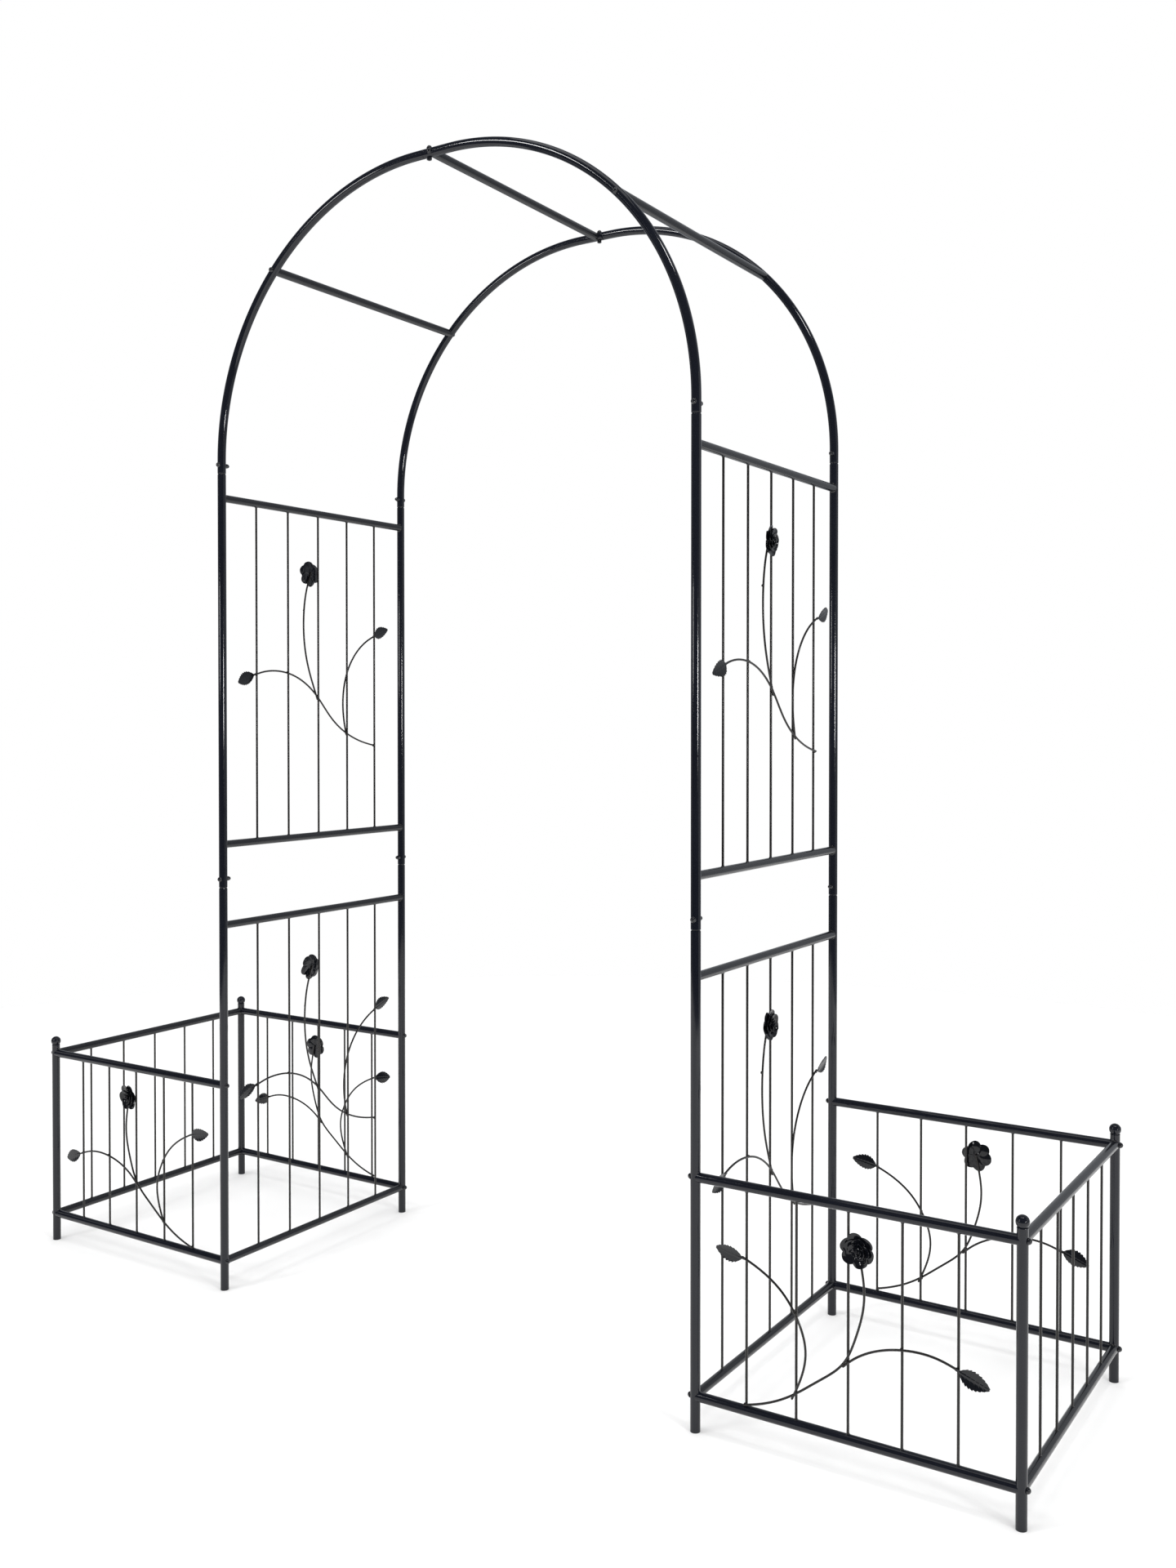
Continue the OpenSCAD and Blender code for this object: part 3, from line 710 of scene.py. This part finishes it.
leg_joint_places = [
    facing((0, -end, 0), (side * LEG_X, end * HALF_DEPTH, z))
    for _, end in ENDS for _, side in SIDES for z in (LEG_JOINT_BOLT_Z, HOOP_JOINT_BOLT_Z)
]
crown_places = [facing((0, 0, -1), (end * CROWN_BOLT_X, end * HALF_DEPTH, CROWN_Z)) for _, end in ENDS]
bar_places = [
    facing((0, -end, 0), (bar.x, end * HALF_DEPTH, bar.z)) for _, end in ENDS for bar in BAR_MIDDLES
]
rail_places = []
for _, end in ENDS:
    for _, side in SIDES:
        for z in (PLANTER_BOTTOM, PLANTER_TOP):
            rail_places.append(facing((side, 0, 0), (side * LEG_X, end * HALF_DEPTH, z)))
            rail_places.append(facing((-side, 0, 0), (side * POST_X, end * HALF_DEPTH, z)))

# In mm: through a tube into a nut, and through a tube to the end of a rail's insert
THROUGH_SHANK, RAIL_SHANK = 20.5, 31.5
for name, node, places, shank in (
    ("joint_bolts", "tube_joint_bolts", leg_joint_places + crown_places, THROUGH_SHANK),
    ("bar_bolts", "cross_bar_bolts", bar_places, RAIL_SHANK),
    ("rail_bolts", "planter_bolts", rail_places, RAIL_SHANK),
):
    bolts = Shape()
    for place in places:
        bolts.add(bolt_shell(shank), place)
    bolts.build(name, BOLT_COAT, "fastener_coat", [node], 40)

cap_nuts, crown_nuts = Shape(), Shape()
for number, place in enumerate(leg_joint_places + crown_places):
    turn = Matrix.Rotation(math.radians(random.Random(700 + number).uniform(0, 60)), 4, "Z")
    at = place @ Matrix.Translation((0, 0, 2 * TUBE_R)) @ turn
    if number < len(leg_joint_places):
        cap_nuts.add(hexagon_shell(NUT_HEX_H), at)
        cap_nuts.add(cap_shell(), at)
    else:
        crown_nuts.add(hexagon_shell(CROWN_NUT_H), at)
cap_nuts.build("joint_cap_nuts", BOLT_COAT, "fastener_coat", ["tube_joint_nuts"], 30)
crown_nuts.build("crown_joint_nuts", BOLT_COAT, "fastener_coat", ["crown_nuts"], 30)


# ---- Welds -----------------------------------------------------------------------------------


def weld_seam(parent_r, branch_r, reach, height, seed, around=28):
    """A hollow fillet where a round branch along +Z stands on a round parent along X.

    reach is how far the fillet runs out along and across the parent, height how far up.
    """
    chance = random.Random(seed)
    waves = [(k, chance.uniform(0, 6.28), chance.uniform(0.05, 0.14)) for k in (2, 3, 5, 9)]
    section = [(1.0, -0.12), (0.62, 0.16), (0.3, 0.42), (0.1, 0.78), (0.0, 1.0), (-0.5, 1.0), (-0.5, -0.6),
               (0.4, -0.6)]
    points = []
    for out, up in section:
        for j in range(around):
            angle = 2 * math.pi * j / around
            uneven = 1 + sum(a * math.sin(k * angle + p) for k, p, a in waves)
            x = (branch_r + out * reach[0] * uneven) * math.cos(angle)
            y = (branch_r + out * reach[1] * (uneven if out > 0 else 1)) * math.sin(angle)
            y = max(-0.985 * parent_r, min(0.985 * parent_r, y))
            points.append((x, y, math.sqrt(parent_r**2 - y * y) + up * height * uneven))
    return points, rings_to_faces(len(section), around, closed=True)


def standing(origin, up, along):
    """Takes +Z to up and X to along, from the parent's axis at the origin."""
    up, along = Vector(up), Vector(along)
    return frame_matrix(along, up.cross(along), up, origin)


ROD_SEAM_REACH, ROD_SEAM_RISE = (1.5 * MM, 1.3 * MM), 1.7 * MM
RAIL_SEAM_REACH, RAIL_SEAM_RISE = (2.3 * MM, 0.5 * MM), 1.6 * MM

rod_welds, rail_welds = Shape(), Shape()
seed = 900
for _, side in SIDES:
    for x, rail_r, bottom, top in (
        (LEG_X, SIDE_RAIL_R, LOWER_BOTTOM, LOWER_TOP),
        (LEG_X, SIDE_RAIL_R, UPPER_BOTTOM, UPPER_TOP),
        (POST_X, PLANTER_RAIL_R, PLANTER_BOTTOM, PLANTER_TOP),
    ):
        for i in range(ROD_COUNT):
            y = SIDE_ROD_REACH * (2 * i / (ROD_COUNT - 1) - 1)
            for z, up in ((bottom, 1), (top, -1)):
                seed += 1
                seam = weld_seam(rail_r, ROD_R, ROD_SEAM_REACH, ROD_SEAM_RISE, seed)
                rod_welds.add(seam, standing((side * x, y, z), (0, 0, up), (0, 1, 0)))
        for z in (bottom, top):
            for _, end in ENDS:
                seed += 1
                seam = weld_seam(TUBE_R, rail_r, RAIL_SEAM_REACH, RAIL_SEAM_RISE, seed, 44)
                rail_welds.add(seam, standing((side * x, end * HALF_DEPTH, z), (0, -end, 0), (0, 0, 1)))
    for _, end in ENDS:
        for i in range(ROD_COUNT):
            x = LEG_X + PLANTER_ROD_FIRST + (PLANTER_ROD_LAST - PLANTER_ROD_FIRST) * i / (ROD_COUNT - 1)
            for z, up in ((PLANTER_BOTTOM, 1), (PLANTER_TOP, -1)):
                seed += 1
                seam = weld_seam(PLANTER_RAIL_R, ROD_R, ROD_SEAM_REACH, ROD_SEAM_RISE, seed)
                rod_welds.add(seam, standing((side * x, end * HALF_DEPTH, z), (0, 0, up), (1, 0, 0)))
rod_welds.build("rod_welds", WELD_COAT, "wire_coat", sharp=60)
rail_welds.build("rail_welds", WELD_COAT, "tube_coat", sharp=60)


# ---- Floor, light and camera -----------------------------------------------------------------


def plain(name, colour, rough):
    material = bpy.data.materials.new(name)
    material.use_nodes = True
    shader = material.node_tree.nodes["Principled BSDF"]
    shader.inputs["Base Color"].default_value = (*colour, 1)
    shader.inputs["Roughness"].default_value = rough
    return material


FLOOR_R, FLOOR_SIDES = 3.4, 96
floor_mesh = bpy.data.meshes.new("floor")
floor_rim = [2 * math.pi * i / FLOOR_SIDES for i in range(FLOOR_SIDES)]
floor_points = [(FLOOR_R * math.cos(a), FLOOR_R * math.sin(a), 0) for a in floor_rim]
floor_mesh.from_pydata(floor_points, [], [tuple(range(FLOOR_SIDES))])
floor_mesh.materials.append(plain("pale_floor", (0.96, 0.96, 0.96), 0.9))
floor = bpy.data.objects.new("floor", floor_mesh)
bpy.context.scene.collection.objects.link(floor)

world = bpy.data.worlds.new("studio")
bpy.context.scene.world = world
world.use_nodes = True
sky = world.node_tree
sky.nodes.clear()
seen_by = sky.nodes.new("ShaderNodeLightPath")


def background(colour):
    """A studio wall of one colour, or of the colours that a socket gives."""
    node = sky.nodes.new("ShaderNodeBackground")
    if isinstance(colour, bpy.types.NodeSocket):
        sky.links.new(colour, node.inputs["Color"])
    else:
        node.inputs["Color"].default_value = (*colour, 1)
    return node.outputs["Background"]


def dim_room(front, rear):
    """Colours by direction: a dark room in front of the arch, which lightens to a wall behind it."""
    place = sky.nodes.new("ShaderNodeTexCoord")
    split = sky.nodes.new("ShaderNodeSeparateXYZ")
    sky.links.new(place.outputs["Generated"], split.inputs["Vector"])
    fade = sky.nodes.new("ShaderNodeMapRange")
    fade.interpolation_type = "SMOOTHSTEP"
    fade.inputs["From Min"].default_value = -0.1
    fade.inputs["From Max"].default_value = 0.9
    sky.links.new(split.outputs["Y"], fade.inputs["Value"])
    mix = sky.nodes.new("ShaderNodeMix")
    mix.data_type = "RGBA"
    mix.inputs["A"].default_value = (*front, 1)
    mix.inputs["B"].default_value = (*rear, 1)
    sky.links.new(fade.outputs["Result"], mix.inputs["Factor"])
    return mix.outputs["Result"]


# A white backdrop that lights the floor evenly, and a dimmer room for the gloss to reflect
backdrop = background((1.0, 1.0, 1.0))
reflected = background(dim_room((0.080, 0.086, 0.100), (0.48, 0.50, 0.53)))
chosen = sky.nodes.new("ShaderNodeMixShader")
sky.links.new(seen_by.outputs["Is Glossy Ray"], chosen.inputs["Fac"])
sky.links.new(backdrop, chosen.inputs[1])
sky.links.new(reflected, chosen.inputs[2])
sky_out = sky.nodes.new("ShaderNodeOutputWorld")
sky.links.new(chosen.outputs["Shader"], sky_out.inputs["Surface"])


def softbox(name, place, aim, width, height, power):
    """A soft rectangular lamp at a place, turned to its aim, in metres and watts."""
    data = bpy.data.lights.new(name, "AREA")
    data.shape = "RECTANGLE"
    data.size, data.size_y, data.energy = width, height, power
    lamp = bpy.data.objects.new(name, data)
    lamp.location = place
    lamp.rotation_euler = (Vector(aim) - Vector(place)).to_track_quat("-Z", "Y").to_euler()
    bpy.context.scene.collection.objects.link(lamp)


# Four small lamps draw the thin highlights along the tubes, and the three large ones fill
softbox("left_lamp", (-1.64, -3.1, 1.4), (0, 0, 1.0), 0.4, 0.4, 10)
softbox("right_lamp", (4.6, -1.7, 1.2), (0, 0, 1.0), 0.45, 0.45, 46)
softbox("left_high_lamp", (-1.7, -2.9, 3.15), (0.2, -0.26, 2.0), 0.4, 0.4, 19)
softbox("right_high_lamp", (1.7, -0.7, 3.7), (0.4, 0.26, 1.8), 0.4, 0.4, 14)
softbox("right_wall", (4.4, 0.6, 1.4), (0, 0, 1.1), 0.9, 3.2, 8)
softbox("left_wall", (-4.2, -1.6, 1.4), (0, 0, 1.1), 0.7, 3.2, 6)
softbox("overhead", (0.0, -0.8, 5.0), (0, 0, 0), 2.2, 2.2, 18)

camera_data = bpy.data.cameras.new("camera")
camera = bpy.data.objects.new("camera", camera_data)
bpy.context.scene.collection.objects.link(camera)
bpy.context.scene.camera = camera
camera_data.sensor_width = 36
camera_data.lens = 33.43
camera_data.shift_y = -0.0286
camera_data.clip_start = 0.02
camera_data.clip_end = 100
camera.location = (1.5517, -2.1816, 1.0777)
camera.rotation_euler = (math.radians(90 - 0.837), 0, math.radians(32.81))

bpy.context.scene.view_settings.view_transform = "Standard"
bpy.context.scene.view_settings.look = "None"
